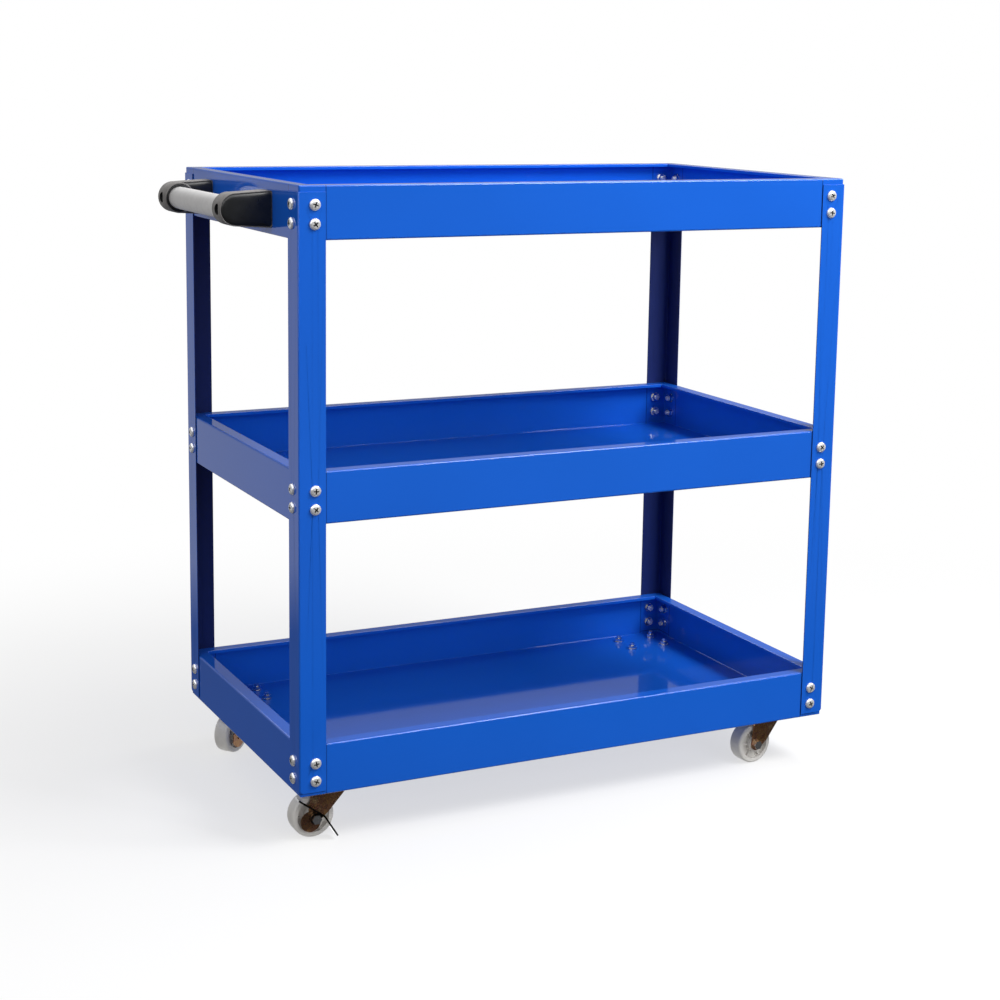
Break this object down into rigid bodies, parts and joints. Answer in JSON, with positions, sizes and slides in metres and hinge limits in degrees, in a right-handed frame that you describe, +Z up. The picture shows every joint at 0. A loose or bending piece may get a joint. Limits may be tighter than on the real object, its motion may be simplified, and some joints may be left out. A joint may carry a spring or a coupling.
{
  "type": "three-tier tool trolley",
  "caption": "Open steel tool trolley: three lipped trays on angle legs, a push handle at one end, swivel casters below, brakes on those at the handle end.",
  "frame": {"origin": "on the floor, under the middle of the whole trolley, handle included", "axes": "+X along the trolley away from the handle, +Y from the front to the back, +Z up"},
  "size_m": [0.7616, 0.4072, 0.737],
  "materials": {
    "tray": "glossy blue powder coat",
    "leg": "glossy blue powder coat",
    "zinc": "bright zinc",
    "arm": "black moulded, smooth sides and a grained band",
    "bar": "satin",
    "plate": "yellow zinc",
    "fork": "yellow zinc",
    "wheel": "off-white moulded",
    "steel": "plain steel"
  },
  "bodies": {
    "frame": {"tray_bottom": "tray", "tray_middle": "tray", "tray_top": "tray", "leg_front_left": "leg", "leg_front_right": "leg", "leg_back_left": "leg", "leg_back_right": "leg", "leg_screws_front_left": "zinc", "leg_screws_front_right": "zinc", "leg_screws_back_left": "zinc", "leg_screws_back_right": "zinc", "leg_nuts_front_left": "zinc", "leg_nuts_front_right": "zinc", "leg_nuts_back_left": "zinc", "leg_nuts_back_right": "zinc", "handle_arm_front": "arm", "handle_arm_back": "arm", "handle_bar": "bar", "handle_bolts": "zinc", "handle_nuts": "zinc", "caster_bolts": "zinc", "caster_nuts": "zinc", "caster_plate_front_left": "plate", "caster_plate_front_right": "plate", "caster_plate_back_left": "plate", "caster_plate_back_right": "plate", "caster_kingpin_front_left": "steel", "caster_kingpin_front_right": "steel", "caster_kingpin_back_left": "steel", "caster_kingpin_back_right": "steel"},
    "fork_front_left": {"caster_fork_front_left": "fork", "caster_balls_front_left": "steel", "caster_axle_bolt_front_left": "zinc", "caster_axle_nut_front_left": "zinc", "brake_plate_front_left": "fork"},
    "wheel_front_left": {"caster_wheel_front_left": "wheel", "caster_bush_front_left": "steel"},
    "fork_front_right": {"caster_fork_front_right": "fork", "caster_balls_front_right": "steel", "caster_axle_bolt_front_right": "zinc", "caster_axle_nut_front_right": "zinc"},
    "wheel_front_right": {"caster_wheel_front_right": "wheel", "caster_bush_front_right": "steel"},
    "fork_back_left": {"caster_fork_back_left": "fork", "caster_balls_back_left": "steel", "caster_axle_bolt_back_left": "zinc", "caster_axle_nut_back_left": "zinc", "brake_plate_back_left": "fork"},
    "wheel_back_left": {"caster_wheel_back_left": "wheel", "caster_bush_back_left": "steel"},
    "fork_back_right": {"caster_fork_back_right": "fork", "caster_balls_back_right": "steel", "caster_axle_bolt_back_right": "zinc", "caster_axle_nut_back_right": "zinc"},
    "wheel_back_right": {"caster_wheel_back_right": "wheel", "caster_bush_back_right": "steel"},
    "brake_front_left": {"brake_pedal_front_left": "zinc"},
    "brake_back_left": {"brake_pedal_back_left": "zinc"}
  },
  "joints": [
    {"name": "swivel_front_left", "type": "hinge", "parent": "frame", "child": "fork_front_left", "pos_m": [-0.2688, -0.156, 0.056], "axis": [0, 0, 1], "continuous": true},
    {"name": "roll_front_left", "type": "hinge", "parent": "fork_front_left", "child": "wheel_front_left", "pos_m": [-0.2938, -0.156, 0.025], "axis": [0, 1, 0], "continuous": true},
    {"name": "brake_front_left", "type": "hinge", "parent": "fork_front_left", "child": "brake_front_left", "pos_m": [-0.2938, -0.171, 0.025], "axis": [0, 1, 0], "range_deg": [-30, 0]},
    {"name": "swivel_front_right", "type": "hinge", "parent": "frame", "child": "fork_front_right", "pos_m": [0.3232, -0.156, 0.056], "axis": [0, 0, 1], "continuous": true},
    {"name": "roll_front_right", "type": "hinge", "parent": "fork_front_right", "child": "wheel_front_right", "pos_m": [0.29834, -0.15861, 0.025], "axis": [-0.1045, 0.9945, 0], "continuous": true},
    {"name": "swivel_back_left", "type": "hinge", "parent": "frame", "child": "fork_back_left", "pos_m": [-0.2688, 0.156, 0.056], "axis": [0, 0, 1], "continuous": true},
    {"name": "roll_back_left", "type": "hinge", "parent": "fork_back_left", "child": "wheel_back_left", "pos_m": [-0.28877, 0.14095, 0.025], "axis": [-0.6018, 0.7986, 0], "continuous": true},
    {"name": "brake_back_left", "type": "hinge", "parent": "fork_back_left", "child": "brake_back_left", "pos_m": [-0.27974, 0.12898, 0.025], "axis": [-0.6018, 0.7986, 0], "range_deg": [-30, 0]},
    {"name": "swivel_back_right", "type": "hinge", "parent": "frame", "child": "fork_back_right", "pos_m": [0.3232, 0.156, 0.056], "axis": [0, 0, 1], "continuous": true},
    {"name": "roll_back_right", "type": "hinge", "parent": "fork_back_right", "child": "wheel_back_right", "pos_m": [0.29875, 0.1508, 0.025], "axis": [-0.2079, 0.9781, 0], "continuous": true}
  ]
}
